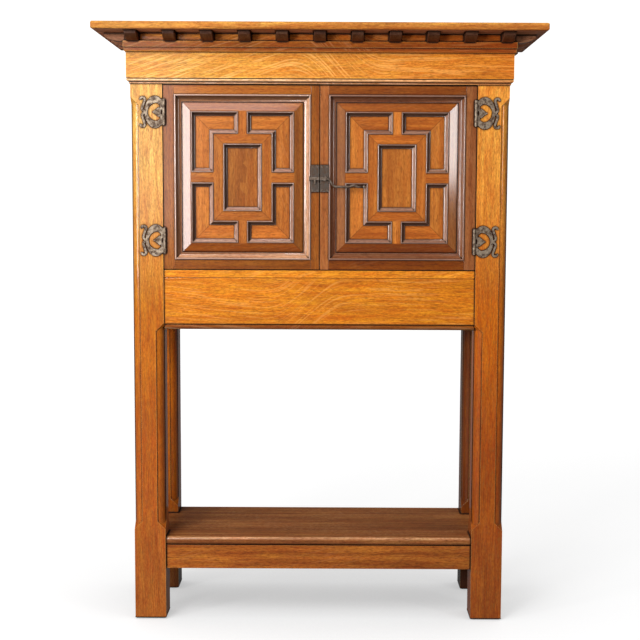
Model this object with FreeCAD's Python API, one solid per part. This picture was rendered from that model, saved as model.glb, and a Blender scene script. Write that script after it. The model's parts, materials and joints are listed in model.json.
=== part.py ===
import FreeCAD, Part
import math
import os

# Court cupboard in oak: a two-door cupboard carried on four moulded posts, over an open bay and a low shelf.
# Lengths are millimetres. X runs left to right, Y from the front to the back, Z up from the floor.

# Whole piece
case_width = 930.0
case_depth = 340.0
overall_height = 1484.0
cut_overrun = 5.0
joint_gap = 0.3

# Posts, with a quarter-round sunk into their corners between sloping stops
post_side = 78.0
post_foot_chamfer = 4.0
post_mould = 20.0
post_mould_quirk = 2.0
mould_above_shelf = 20.0
mould_above_apron_base = 16.0
mould_below_frieze = 31.0
tenon_length = 24.0
tenon_shoulder = 8.0
tenon_share = 0.36

# Top board
top_thickness = 18.0
top_overhang = 81.0
top_back_overhang = 15.0
top_edge_round = 4.0

# Frieze boards, from the fillet over the doors up to the underside of the top board
frieze_height = 121.0
frieze_thickness = 24.0
frieze_projection = 8.5
frieze_fillet_height = 5.0
frieze_fillet_projection = 2.5
frieze_bead = 8.0
frieze_bead_root = 4.0
bed_mould_rise = 75.0
bed_ovolo = 4.0
bed_fillet_height = 7.5
fascia_step = 2.0
fascia_height = 14.5
backing_projection = 9.0

# Corbels under the top board
corbel_width = 28.0
corbel_reach = 52.0
corbel_tip_height = 9.0
corbel_belly = 4.0
corbel_pitch = 91.0
corbel_corner_inset = 5.0

# Opening for the doors, and the cupboard floor and apron rails under it
door_opening_height = 455.0
apron_height = 129.0
apron_thickness = 26.0
rail_setback = 3.0
apron_mould = 14.0
apron_mould_quirk = 2.0
floor_thickness = 20.0
floor_edge_round = 2.5

# Low rails and the low shelf on them
low_rail_base = 131.0
low_rail_height = 61.0
low_rail_thickness = 26.0
low_rail_setback = 5.0
low_shelf_thickness = 20.0
low_shelf_round = 8.0

# Side panels, back, ceiling and inner shelf
side_panel_thickness = 20.0
side_panel_tongue = 8.0
side_panel_tongue_share = 0.4
side_panel_border = 34.0
side_panel_bevel = 22.0
side_panel_relief = 6.0
back_board_thickness = 14.0
back_board_count = 5
back_board_gap = 1.0
rear_top_rail_height = 60.0
rear_top_rail_thickness = 22.0
ceiling_thickness = 12.0
inner_shelf_rise = 220.0
inner_shelf_thickness = 18.0
inner_shelf_setback = 22.0
bearer_side = 18.0

# Doors
door_gap = 1.5
meeting_gap = 2.0
door_setback = 2.0
door_thickness = 24.0
hinge_stile_width = 27.0
meeting_stile_width = 21.0
meeting_edge_slope = 1.5
door_rail_width = 23.5
door_tenon_length = 14.0
door_tenon_share = 0.35
door_tenon_shoulder = 4.0
stop_depth = 12.0
stop_height = 14.0

# Frame moulding round each door panel
frame_mould_width = 17.5
frame_mould_proud = 2.0
frame_bead_width = 5.0
panel_margin_depth = 9.0

# Door panel: a bevel up to a raised field with five sunk shapes
panel_back_depth = 19.0
panel_tongue = 6.0
panel_tongue_front = 12.0
panel_tongue_back = 18.0
panel_bevel = 22.0
field_depth = 1.0
sunk_depth = 8.0
field_edge_strip = 2.0
upright_strip = 21.5
level_strip = 25.0
inner_frame_strip = 24.0
centre_width = 95.0
centre_height = 165.0

# Moulding round each sunk shape
sunk_mould_width = 10.0
sunk_mould_proud = 1.5
sunk_bead_width = 3.0
sunk_mould_foot = 1.2

# Hinges: pierced iron plates on the posts, leaves let into the doors' edges
upper_hinge_drop = 69.0
lower_hinge_rise = 72.0
plate_thickness = 2.5
plate_height = 77.0
plate_width = 49.0
plate_set_back = 22.0
spine_width = 5.0
ring_band_width = 16.0
ring_point_width = 6.0
heart_length = 20.0
heart_height = 22.0
eye_width = 9.0
eye_height = 13.0
scroll_width = 4.5
scroll_hook_radius = 5.5
scroll_waist_radius = 6.5
scroll_hook_height = 30.0
scroll_waist_height = 8.5
scroll_waist_degrees = 275.0
scroll_offset = 26.5
scroll_lean = 3.5
hinge_offset = 3.0
knuckle_radius = 3.5
knuckle_length = 60.0
knuckle_standoff = 0.3
hinge_pin_radius = 1.7
pin_clearance = 0.05
pin_head_height = 2.0
pin_head_radius = 3.0
leaf_thickness = 2.0
leaf_depth = 18.0
nail_radius = 1.6
nail_head_radius = 2.6
nail_head_height = 1.0
nail_length = 12.0
nail_height_share = 0.42

# Latch: a plate on each door, a lever on the right one and a keeper on the left one
latch_rise = 225.5
latch_plate_height = 64.0
latch_plate_width = 20.0
latch_plate_thickness = 2.5
latch_rivet_radius = 1.5
latch_rivet_height = 0.8
latch_rivet_inset = 3.5
lever_standoff = 1.0
lever_thickness = 4.5
lever_bar_height = 7.0
lever_pivot_x = 12.5
lever_boss_radius = 5.5
pivot_radius = 2.0
pivot_depth = 12.0
pivot_head_radius = 3.6
pivot_head_height = 1.5
lever_arm_gap = 1.2
tail_radius = 2.2
tail_drop_radius = 12.0
tail_drop_degrees = 60.0
tail_fall = 8.0
tail_rise_radius = 14.0
tail_run = 30.0
tail_wave_radius = 10.0
tail_wave_degrees = 35.0
tail_tip_length = 14.0
tail_end_radius = 3.2
keeper_reach = 27.0
keeper_stem_x = 12.0
keeper_stem_radius = 2.6
keeper_hook_length = 9.0
keeper_hook_width = 3.4

# Places worked out from the sizes above
half_width = case_width / 2
front_y = top_overhang - (top_overhang + case_depth + top_back_overhang) / 2
back_y = front_y + case_depth
soffit_z = overall_height - top_thickness
bay_half = half_width - post_side
frieze_base = soffit_z - frieze_height
bed_mould_height = frieze_base + bed_mould_rise
floor_top = frieze_base - door_opening_height
floor_base = floor_top - floor_thickness
apron_base = floor_base - apron_height
low_shelf_base = low_rail_base + low_rail_height
mould_low = low_shelf_base + low_shelf_thickness + mould_above_shelf
mould_high_bay = apron_base + mould_above_apron_base
mould_high_case = frieze_base - mould_below_frieze
inner_shelf_height = floor_top + inner_shelf_rise
hinge_high = frieze_base - upper_hinge_drop
hinge_low = floor_top + lower_hinge_rise
latch_height = floor_top + latch_rise
frieze_inset = frieze_thickness - frieze_projection
panel_inner = half_width - rail_setback - side_panel_thickness
back_board_y = back_y - rail_setback - back_board_thickness
door_front = front_y + door_setback
door_left = door_gap - bay_half
door_right = -meeting_gap / 2
door_low = floor_top + door_gap
door_high = frieze_base - door_gap
hinge_x = door_left + hinge_offset
hinge_y = front_y - knuckle_radius - knuckle_standoff
bed_out = frieze_projection + bed_ovolo
bed_top = bed_mould_height + bed_ovolo + bed_fillet_height
fascia_out = bed_out + fascia_step
fascia_top = bed_top + fascia_height
lever_y = door_front - latch_plate_thickness - lever_standoff - lever_thickness / 2


def vec(x, y, z):
    return FreeCAD.Vector(x, y, z)


def box(x0, x1, y0, y1, z0, z1):
    return Part.makeBox(x1 - x0, y1 - y0, z1 - z0, vec(x0, y0, z0))


def face_of(edges):
    return Part.Face(Part.Wire(Part.__sortEdges__(edges)))


def polygon(points):
    return Part.Face(Part.makePolygon(points + points[:1]))


def prism_z(outline, z0, z1):
    face = polygon([vec(x, y, z0) for x, y in outline])
    return face.extrude(vec(0, 0, z1 - z0))


def mirrored(shape):
    return shape.mirror(vec(0, 0, 0), vec(1, 0, 0))


def save(name, solids):
    shape = solids if isinstance(solids, Part.Shape) else Part.makeCompound(solids)
    shape.exportStep("parts/" + name + ".step")
    print(name, len(shape.Solids), round(shape.Volume))


# Quarter-round sunk in a corner
def sunk_round(size, quirk):
    """The material cut from a square corner at the origin, leaving a quarter-round set back by a quirk."""
    radius = size - quirk
    start = vec(quirk, size, 0)
    end = vec(size, quirk, 0)
    middle = vec(size - radius * math.cos(math.pi / 4), size - radius * math.sin(math.pi / 4), 0)
    over = -cut_overrun
    points = [end, vec(size, over, 0), vec(over, over, 0), vec(over, size, 0), start]
    edges = [Part.LineSegment(a, b).toShape() for a, b in zip(points, points[1:])]
    edges.append(Part.Arc(start, middle, end).toShape())
    return face_of(edges)


def post_corner_cut(z0, z1):
    """One moulded corner of a post, between stops that slope at 45 degrees."""
    run = sunk_round(post_mould, post_mould_quirk).extrude(vec(0, 0, z1 - z0))
    run.translate(vec(0, 0, z0))
    slope = math.sqrt(2)
    near = -2 * cut_overrun
    far = post_mould * slope + cut_overrun
    side = vec(-1, 1, 0) * (far / slope)
    outline = [(near, z0 + near * slope), (far, z0 + far * slope), (far, z1 - far * slope), (near, z1 - near * slope)]
    points = [vec(s / slope, s / slope, z) - side for s, z in outline]
    return run.common(polygon(points).extrude(side * 2))


def turned(shape, quarter_turns, x, y):
    shape = shape.copy()
    shape.rotate(vec(0, 0, 0), vec(0, 0, 1), 90 * quarter_turns)
    shape.translate(vec(x, y, 0))
    return shape


def cross_rail(y, thickness, base, height):
    """A rail from left to right between two posts, with a tenon at each end."""
    body = box(-bay_half, bay_half, y, y + thickness, base, base + height)
    return body.fuse(cross_tenons(y, thickness, base, height)).removeSplitter()


def cross_tenons(y, thickness, base, height):
    inset = thickness * (1 - tenon_share) / 2
    reach = bay_half + tenon_length
    low = base + tenon_shoulder
    return box(-reach, reach, y + inset, y + thickness - inset, low, low + height - 2 * tenon_shoulder)


def side_rail(outer, thickness, base, height):
    """A rail from front to back on the left side, with a tenon at each end."""
    body = box(outer, outer + thickness, front_y + post_side, back_y - post_side, base, base + height)
    return body.fuse(side_tenons(outer, thickness, base, height)).removeSplitter()


def side_tenons(outer, thickness, base, height):
    inset = thickness * (1 - tenon_share) / 2
    low = base + tenon_shoulder
    y0 = front_y + post_side - tenon_length
    y1 = back_y - post_side + tenon_length
    return box(outer + inset, outer + thickness - inset, y0, y1, low, low + height - 2 * tenon_shoulder)


# Rails round the case and round the low shelf
rail_sets = {
    "apron": (rail_setback, apron_thickness, apron_base, apron_height),
    "low": (low_rail_setback, low_rail_thickness, low_rail_base, low_rail_height),
}


def all_left_tenons():
    tenons = []
    for setback, thickness, base, height in rail_sets.values():
        tenons.append(cross_tenons(front_y + setback, thickness, base, height))
        tenons.append(cross_tenons(back_y - setback - thickness, thickness, base, height))
        tenons.append(side_tenons(setback - half_width, thickness, base, height))
    return tenons


def left_post(front):
    """A left post with its moulded corners, mortises, panel groove and the seat for the frieze boards."""
    x0 = -half_width
    x1 = x0 + post_side
    y0 = front_y if front else back_y - post_side
    y1 = y0 + post_side
    post = box(x0, x1, y0, y1, 0, soffit_z)
    foot = [e for e in post.Edges if e.BoundBox.ZMax < cut_overrun]
    post = post.makeChamfer(post_foot_chamfer, foot)
    post = post.cut(turned(post_corner_cut(mould_low, mould_high_case if front else mould_high_bay), 0, x0, y0))
    post = post.cut(turned(post_corner_cut(mould_low, mould_high_bay), 1, x1, y0))
    if front:
        post = post.cut(turned(post_corner_cut(mould_low, mould_high_bay), 2, x1, y1))
        post = post.cut(turned(post_corner_cut(mould_low, mould_high_bay), 3, x0, y1))
        post = post.cut(box(x0 - cut_overrun, x1 + cut_overrun, y0 - cut_overrun, y0 + frieze_inset,
                            frieze_base, overall_height))
    post = post.cut(box(x0 - cut_overrun, x0 + frieze_inset, y0 - cut_overrun, y1 + cut_overrun,
                        frieze_base, overall_height))
    post = post.cut(all_left_tenons())
    return post.cut(side_panel_blank(side_panel_tongue))


# Frieze and cornice
def frieze_face():
    """Section of a frieze board, with X the distance out from the post face."""
    inner = -frieze_inset
    bead_base = frieze_base + frieze_fillet_height
    bead_top = bead_base + frieze_bead
    bead_tip = vec(frieze_bead_root + frieze_bead / 2, 0, bead_base + frieze_bead / 2)
    round_share = math.sin(math.pi / 4)
    ovolo = vec(frieze_projection + bed_ovolo * round_share, 0, bed_mould_height + bed_ovolo * (1 - round_share))
    lower = [vec(inner, 0, frieze_base), vec(frieze_fillet_projection, 0, frieze_base),
             vec(frieze_fillet_projection, 0, bead_base), vec(frieze_bead_root, 0, bead_base)]
    middle = [vec(frieze_bead_root, 0, bead_top), vec(frieze_projection, 0, bead_top),
              vec(frieze_projection, 0, bed_mould_height)]
    upper = [vec(bed_out, 0, bed_mould_height + bed_ovolo), vec(bed_out, 0, bed_top),
             vec(fascia_out, 0, bed_top), vec(fascia_out, 0, fascia_top),
             vec(backing_projection, 0, fascia_top), vec(backing_projection, 0, soffit_z),
             vec(inner, 0, soffit_z), lower[0]]
    edges = []
    for chain in (lower, middle, upper):
        edges += [Part.LineSegment(a, b).toShape() for a, b in zip(chain, chain[1:])]
    edges.append(Part.Arc(lower[-1], bead_tip, middle[0]).toShape())
    edges.append(Part.Arc(middle[-1], ovolo, upper[0]).toShape())
    return face_of(edges)


def front_frieze():
    """The front frieze board, mitred to the side boards."""
    out = half_width + fascia_out + cut_overrun
    face = frieze_face()
    face.rotate(vec(0, 0, 0), vec(0, 0, 1), -90)
    face.translate(vec(-out, front_y, 0))
    board = face.extrude(vec(2 * out, 0, 0))
    over = out - half_width
    plan = [(-out, front_y - over), (out, front_y - over),
            (half_width - post_side, front_y + post_side), (post_side - half_width, front_y + post_side)]
    return board.common(prism_z(plan, 0, overall_height))


def left_frieze():
    """The left frieze board, mitred to the front board and flush with the back."""
    over = fascia_out + cut_overrun
    face = frieze_face()
    face.rotate(vec(0, 0, 0), vec(0, 0, 1), 180)
    face.translate(vec(-half_width, front_y - over, 0))
    board = face.extrude(vec(0, case_depth + over, 0))
    plan = [(-half_width - over, front_y - over), (post_side - half_width, front_y + post_side),
            (post_side - half_width, back_y), (-half_width - over, back_y)]
    return board.common(prism_z(plan, 0, overall_height))


def corbel():
    """One corbel with its root on the backing, centred on Y, reaching out along X, under the soffit."""
    side = -corbel_width / 2
    root = backing_projection
    tip = root + corbel_reach
    low_tip = (tip, soffit_z - corbel_tip_height)
    low_root = (fascia_out, fascia_top)
    belly = off_middle(low_tip, low_root, corbel_belly)
    edges = [Part.Arc(*[vec(x, side, z) for x, z in (low_tip, belly, low_root)]).toShape()]
    ends = [low_root, (root, fascia_top), (root, soffit_z), (tip, soffit_z), low_tip]
    for a, b in zip(ends, ends[1:]):
        edges.append(Part.LineSegment(vec(a[0], side, a[1]), vec(b[0], side, b[1])).toShape())
    return face_of(edges).extrude(vec(0, corbel_width, 0))


def off_middle(a, b, sag):
    """A point off the middle of the line a to b, to its left, to draw an arc through."""
    dx, dy = b[0] - a[0], b[1] - a[1]
    length = math.hypot(dx, dy)
    return ((a[0] + b[0]) / 2 - dy / length * sag, (a[1] + b[1]) / 2 + dx / length * sag)


def spaced(first, last, pitch):
    """Evenly spaced places from first to last, nearly a pitch apart."""
    count = max(1, round((last - first) / pitch))
    return [first + (last - first) * i / count for i in range(count + 1)]


def front_corbels():
    end = half_width + backing_projection - corbel_corner_inset - corbel_width / 2
    row = []
    for x in spaced(-end, end, corbel_pitch):
        piece = corbel()
        piece.rotate(vec(0, 0, 0), vec(0, 0, 1), -90)
        piece.translate(vec(x, front_y, 0))
        row.append(piece)
    return row


def left_corbels():
    first = front_y - backing_projection + corbel_corner_inset + corbel_width / 2
    last = back_y - corbel_corner_inset - corbel_width / 2
    row = []
    for y in spaced(first, last, corbel_pitch):
        piece = corbel()
        piece.rotate(vec(0, 0, 0), vec(0, 0, 1), 180)
        piece.translate(vec(-half_width, y, 0))
        row.append(piece)
    return row


def top_board():
    """The top board, its long edges and ends eased."""
    out = half_width + top_overhang
    board = box(-out, out, front_y - top_overhang, back_y + top_back_overhang, soffit_z, overall_height)
    limit = back_y + top_back_overhang - cut_overrun
    eased = [e for e in board.Edges if e.BoundBox.ZLength < cut_overrun and e.BoundBox.YMin < limit]
    return board.makeFillet(min(top_edge_round, top_thickness / 2 - joint_gap), eased)


# Boards notched round the four posts
def notched_board(out, y0, y1, z0, z1, post_cut):
    """A level board whose corners are cut away for the posts; post_cut is the posts' inset at that height."""
    board = box(-out, out, y0, y1, z0, z1)
    low, high = z0 - cut_overrun, z1 + cut_overrun
    for side in (-1, 1):
        edges = sorted((side * (half_width - post_cut), side * bay_half))
        board = board.cut(box(edges[0], edges[1], front_y + post_cut, front_y + post_side, low, high))
        board = board.cut(box(edges[0], edges[1], back_y - post_side, back_y, low, high))
    return board


def front_edges(shape, y, z):
    """Edges that run left to right at a given place in the section."""
    found = []
    for edge in shape.Edges:
        b = edge.BoundBox
        level = abs(b.YMin - y) < joint_gap and abs(b.YMax - y) < joint_gap
        if level and abs(b.ZMin - z) < joint_gap and abs(b.ZMax - z) < joint_gap:
            found.append(edge)
    return found


def cupboard_floor():
    out = half_width - rail_setback
    y0 = front_y + rail_setback
    board = notched_board(out, y0, back_y - rail_setback, floor_base, floor_top, 0)
    board = largest(board)
    return board.makeFillet(min(floor_edge_round, floor_thickness / 3), front_edges(board, y0, floor_top))


def largest(shape):
    return max(shape.Solids, key=lambda s: s.Volume)


def low_shelf():
    out = half_width - rail_setback
    y0 = front_y + rail_setback
    top = low_shelf_base + low_shelf_thickness
    board = largest(notched_board(out, y0, back_y - rail_setback, low_shelf_base, top, 0))
    return board.makeFillet(min(low_shelf_round, low_shelf_thickness / 2 - joint_gap),
                            front_edges(board, y0, top) + front_edges(board, y0, low_shelf_base))


def ceiling_board():
    out = half_width - frieze_inset
    board = notched_board(out, front_y + frieze_inset, back_board_y, frieze_base,
                          frieze_base + ceiling_thickness, frieze_inset)
    rear_post = half_width - frieze_inset
    for side in (-1, 1):
        edges = sorted((side * rear_post, side * bay_half))
        board = board.cut(box(edges[0], edges[1], back_y - post_side, back_y, frieze_base - cut_overrun,
                              frieze_base + ceiling_thickness + cut_overrun))
    return largest(board)


def inner_shelf():
    y0 = door_front + door_thickness + inner_shelf_setback
    board = notched_board(panel_inner, y0, back_board_y, inner_shelf_height,
                          inner_shelf_height + inner_shelf_thickness, 0)
    return largest(board)


def left_bearer():
    return box(-panel_inner, bearer_side - panel_inner, front_y + post_side, back_y - post_side,
               inner_shelf_height - bearer_side, inner_shelf_height)


# Front and rear rails
def front_apron_rail():
    """The front rail under the cupboard floor, its lower front edge moulded."""
    y = front_y + rail_setback
    rail = cross_rail(y, apron_thickness, apron_base, apron_height)
    return largest(rail.cut(level_mould(apron_mould, apron_mould_quirk, y, apron_base)))


def level_mould(size, quirk, y, z):
    """Cutter along a rail's lower front edge between the posts."""
    face = sunk_round(size, quirk)
    face.rotate(vec(0, 0, 0), vec(0, 0, 1), -90)
    face.rotate(vec(0, 0, 0), vec(0, 1, 0), -90)
    face.translate(vec(-bay_half, y, z))
    return face.extrude(vec(2 * bay_half, 0, 0))


def low_front_rail():
    """The front rail under the low shelf."""
    return cross_rail(front_y + low_rail_setback, low_rail_thickness, low_rail_base, low_rail_height)


def rear_rail(name):
    setback, thickness, base, height = rail_sets[name]
    return cross_rail(back_y - setback - thickness, thickness, base, height)


def left_rail(name):
    setback, thickness, base, height = rail_sets[name]
    return side_rail(setback - half_width, thickness, base, height)


def rear_top_rail():
    y1 = back_board_y
    return box(-bay_half, bay_half, y1 - rear_top_rail_thickness, y1, soffit_z - rear_top_rail_height, soffit_z)


# Side panels and back
def side_panel_blank(tongue):
    """The tongues of the left side panel, which its grooves in the posts repeat."""
    inset = side_panel_thickness * (1 - side_panel_tongue_share) / 2
    x0 = rail_setback - half_width + inset
    x1 = x0 + side_panel_thickness * side_panel_tongue_share
    return box(x0, x1, front_y + post_side - tongue, back_y - post_side + tongue, floor_top, frieze_base)


def left_side_panel():
    """The left side of the cupboard, with a bevelled raised field on its outer face."""
    x0 = rail_setback - half_width
    face_x = x0 + side_panel_relief
    y0 = front_y + post_side
    y1 = back_y - post_side
    body = box(face_x, x0 + side_panel_thickness, y0, y1, floor_top, frieze_base)
    wires = []
    for x, inset in ((face_x, side_panel_border), (x0, side_panel_border + side_panel_bevel)):
        corners = [vec(x, y0 + inset, floor_top + inset), vec(x, y1 - inset, floor_top + inset),
                   vec(x, y1 - inset, frieze_base - inset), vec(x, y0 + inset, frieze_base - inset)]
        wires.append(Part.makePolygon(corners + corners[:1]))
    field = Part.makeLoft(wires, True, True)
    return body.fuse([field, side_panel_blank(side_panel_tongue)]).removeSplitter()


def back_boards():
    """Upright boards that close the back of the cupboard."""
    pitch = (2 * bay_half + back_board_gap) / back_board_count
    boards = []
    for i in range(back_board_count):
        x0 = i * pitch - bay_half
        boards.append(box(x0, x0 + pitch - back_board_gap, back_board_y, back_board_y + back_board_thickness,
                          floor_top, soffit_z))
    return boards


def door_stops():
    """Strips on the floor and under the ceiling that the doors close against."""
    y0 = door_front + door_thickness + joint_gap
    low = box(-bay_half, bay_half, y0, y0 + stop_depth, floor_top, floor_top + stop_height)
    high = box(-bay_half, bay_half, y0, y0 + stop_depth, frieze_base - stop_height, frieze_base)
    return [low, high]


# Left door; the right door is its mirror image
def door_rail_tenons():
    inset = door_thickness * (1 - door_tenon_share) / 2
    x0 = door_left + hinge_stile_width - door_tenon_length
    x1 = door_right - meeting_stile_width + door_tenon_length
    y0 = door_front + inset
    tenons = []
    for low in (door_low, door_high - door_rail_width):
        tenons.append(box(x0, x1, y0, y0 + door_thickness * door_tenon_share,
                          low + door_tenon_shoulder, low + door_rail_width - door_tenon_shoulder))
    return tenons


def door_opening():
    """Low X, high X, low Z and high Z of the opening inside the door frame."""
    return (door_left + hinge_stile_width, door_right - meeting_stile_width,
            door_low + door_rail_width, door_high - door_rail_width)


def panel_groove():
    x0, x1, z0, z1 = door_opening()
    return box(x0 - panel_tongue, x1 + panel_tongue, door_front + panel_tongue_front,
               door_front + panel_tongue_back, z0 - panel_tongue, z1 + panel_tongue)


def leaf_recess(z):
    return box(door_left - cut_overrun, door_left + leaf_thickness, door_front - cut_overrun,
               door_front + leaf_depth, z - knuckle_length / 2, z + knuckle_length / 2)


def door_stile(hinge_side):
    x0, x1, z0, z1 = door_opening()
    left, right = (door_left, x0) if hinge_side else (x1, door_right)
    stile = box(left, right, door_front, door_front + door_thickness, door_low, door_high)
    stile = stile.cut(door_rail_tenons() + [panel_groove()])
    if hinge_side:
        return largest(stile.cut([leaf_recess(hinge_high), leaf_recess(hinge_low)]))
    back = door_front + door_thickness
    sliver = [(door_right, door_front), (door_right + cut_overrun, door_front), (door_right + cut_overrun, back),
              (door_right - meeting_edge_slope, back)]
    return largest(stile.cut(prism_z(sliver, door_low, door_high)))


def door_rail(high):
    x0, x1, z0, z1 = door_opening()
    low = z1 if high else door_low
    rail = box(x0, x1, door_front, door_front + door_thickness, low, low + door_rail_width)
    rail = rail.fuse(door_rail_tenons()[1 if high else 0]).removeSplitter()
    return largest(rail.cut(panel_groove()))


def inset_outline(points, distance):
    """Points of a square-cornered outline, in order about it, moved inwards by a distance."""
    count = len(points)
    moved = []
    for i, (x, z) in enumerate(points):
        px, pz = points[i - 1]
        nx, nz = points[(i + 1) % count]
        into = (math.copysign(1, x - px) if x != px else 0, math.copysign(1, z - pz) if z != pz else 0)
        out = (math.copysign(1, nx - x) if nx != x else 0, math.copysign(1, nz - z) if nz != z else 0)
        moved.append((x - distance * (into[1] + out[1]), z + distance * (into[0] + out[0])))
    return moved


def field_box():
    x0, x1, z0, z1 = door_opening()
    edge = frame_mould_width + panel_bevel
    return x0 + edge, x1 - edge, z0 + edge, z1 - edge


def sunk_outlines():
    """The centre rectangle and the four corner shapes of the raised field, each counter-clockwise."""
    x0, x1, z0, z1 = field_box()
    cx, cz = (x0 + x1) / 2, (z0 + z1) / 2
    hw, hh = centre_width / 2, centre_height / 2
    shapes = [[(cx - hw, cz - hh), (cx + hw, cz - hh), (cx + hw, cz + hh), (cx - hw, cz + hh)]]
    far_x = (x1 - x0) / 2 - field_edge_strip
    far_z = (z1 - z0) / 2 - field_edge_strip
    near_x, near_z = upright_strip / 2, level_strip / 2
    knee_x, knee_z = hw + inner_frame_strip, hh + inner_frame_strip
    corner = [(knee_x, near_z), (far_x, near_z), (far_x, far_z), (near_x, far_z), (near_x, knee_z), (knee_x, knee_z)]
    for sx, sz in ((1, 1), (-1, 1), (-1, -1), (1, -1)):
        points = [(cx + sx * x, cz + sz * z) for x, z in corner]
        shapes.append(points if sx * sz > 0 else points[::-1])
    return shapes


def panel_prism(outline, depth0, depth1):
    face = polygon([vec(x, door_front + depth0, z) for x, z in outline])
    return face.extrude(vec(0, depth1 - depth0, 0))


def door_panel():
    """The panel: tongues in the frame, a margin under the moulding, a bevel and the raised field."""
    x0, x1, z0, z1 = door_opening()
    body = box(x0, x1, door_front + panel_margin_depth, door_front + panel_back_depth, z0, z1)
    wires = []
    for depth, inset in ((panel_margin_depth, frame_mould_width), (field_depth, frame_mould_width + panel_bevel)):
        y = door_front + depth
        corners = [vec(x0 + inset, y, z0 + inset), vec(x1 - inset, y, z0 + inset),
                   vec(x1 - inset, y, z1 - inset), vec(x0 + inset, y, z1 - inset)]
        wires.append(Part.makePolygon(corners + corners[:1]))
    panel = body.fuse([Part.makeLoft(wires, True, True), panel_groove()]).removeSplitter()
    pockets = [panel_prism(outline, -cut_overrun, sunk_depth) for outline in sunk_outlines()]
    return largest(panel.cut(pockets))


def mitred_ring(outline, section):
    """A moulding swept inside a square-cornered outline with mitred corners.

    section lists (distance in from the outline, depth from the door's front), arcs given as three-point tuples.
    """
    (ax, az), (bx, bz) = outline[0], outline[1]
    start = ((ax + bx) / 2, (az + bz) / 2)
    path = [start] + outline[1:] + outline[:1]
    wire = Part.makePolygon([vec(x, door_front, z) for x, z in path + path[:1]])
    length = math.hypot(bx - ax, bz - az)
    inx, inz = -(bz - az) / length, (bx - ax) / length

    def place(point):
        return vec(start[0] + inx * point[0], door_front + point[1], start[1] + inz * point[0])

    edges = []
    for piece in section:
        spots = [place(p) for p in piece]
        curve = Part.LineSegment(*spots) if len(spots) == 2 else Part.Arc(*spots)
        edges.append(curve.toShape())
    profile = Part.Wire(Part.__sortEdges__(edges))
    return wire.makePipeShell([profile], True, False, 1)


def frame_mould():
    """The moulding between the door frame and its panel: a bead, then a hollow down to the panel."""
    x0, x1, z0, z1 = door_opening()
    outline = [(x0, z0), (x1, z0), (x1, z1), (x0, z1)]
    seat = panel_margin_depth
    bead_low = (frame_bead_width, 0)
    foot = (frame_mould_width, seat - frame_mould_proud)
    section = [((0, seat), (0, 0)),
               ((0, 0), (frame_bead_width / 2, -frame_mould_proud), bead_low),
               (bead_low, off_middle(bead_low, foot, frame_mould_proud), foot),
               (foot, (frame_mould_width, seat)),
               ((frame_mould_width, seat), (0, seat))]
    return mitred_ring(outline, section)


def panel_moulds():
    """A moulding inside each sunk shape of the panel."""
    bead_end = (sunk_bead_width, field_depth - sunk_mould_proud / 2)
    foot = (sunk_mould_width, sunk_depth - sunk_mould_foot)
    crown = (sunk_bead_width / 2, field_depth - sunk_mould_proud)
    section = [((0, sunk_depth), (0, field_depth)),
               ((0, field_depth), crown, bead_end),
               (bead_end, off_middle(bead_end, foot, sunk_mould_foot), foot),
               (foot, (sunk_mould_width, sunk_depth)),
               ((sunk_mould_width, sunk_depth), (0, sunk_depth))]
    return [mitred_ring(outline, section) for outline in sunk_outlines()]


# Hinges, drawn for the left door
def disc_y(x, z, radius, y0, y1):
    return Part.makeCylinder(radius, y1 - y0, vec(x, y0, z), vec(0, 1, 0))


def ring_sector(x, z, radius, start, end, y0, y1):
    """A band of a scroll: part of a ring about (x, z), from one angle to another in degrees."""
    inner, outer = radius - scroll_width / 2, radius + scroll_width / 2
    spots = []
    for r in (inner, outer):
        for angle in (start, (start + end) / 2, end):
            turn = math.radians(angle)
            spots.append(vec(x + r * math.cos(turn), y0, z + r * math.sin(turn)))
    edges = [Part.Arc(*spots[:3]).toShape(), Part.Arc(*spots[3:]).toShape(),
             Part.LineSegment(spots[0], spots[3]).toShape(), Part.LineSegment(spots[2], spots[5]).toShape()]
    return face_of(edges).extrude(vec(0, y1 - y0, 0))


def scroll_half(x, z, up, y0, y1):
    """Half of the scroll behind the ring: a hook, a straight and a waist that curves back to the ring."""
    hook = (-scroll_offset - scroll_lean, scroll_hook_height)
    waist = (-scroll_offset + scroll_lean / 2, scroll_waist_height)
    dx, dz = waist[0] - hook[0], waist[1] - hook[1]
    span = math.hypot(dx, dz)
    heading = math.degrees(math.atan2(dz, dx))
    lean = math.degrees(math.acos((scroll_hook_radius + scroll_waist_radius) / span))
    touch = heading + lean
    pieces = [ring_sector(hook[0], hook[1], scroll_hook_radius, touch, 180, 0, y1 - y0),
              ring_sector(waist[0], waist[1], scroll_waist_radius, touch + 180, scroll_waist_degrees, 0, y1 - y0)]
    turn = math.radians(touch)
    a = vec(hook[0] + scroll_hook_radius * math.cos(turn), 0, hook[1] + scroll_hook_radius * math.sin(turn))
    b = vec(waist[0] - scroll_waist_radius * math.cos(turn), 0, waist[1] - scroll_waist_radius * math.sin(turn))
    across = vec(math.cos(turn), 0, math.sin(turn)) * (scroll_width / 2)
    straight = polygon([a - across, a + across, b + across, b - across]).extrude(vec(0, y1 - y0, 0))
    half = pieces[0].fuse([straight, pieces[1]])
    if up < 0:
        half = half.mirror(vec(0, 0, 0), vec(0, 0, 1))
    half.translate(vec(x, y0, z))
    return half


def ellipse_prism(x, z, half_x, half_z, y0, y1):
    major, minor = max(half_x, half_z), min(half_x, half_z)
    curve = Part.Ellipse(vec(0, 0, 0), major, minor).toShape()
    curve.rotate(vec(0, 0, 0), vec(1, 0, 0), 90)
    if half_z > half_x:
        curve.rotate(vec(0, 0, 0), vec(0, 1, 0), 90)
    curve.translate(vec(x, y0, z))
    return Part.Face(Part.Wire(curve)).extrude(vec(0, y1 - y0, 0))


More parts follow.
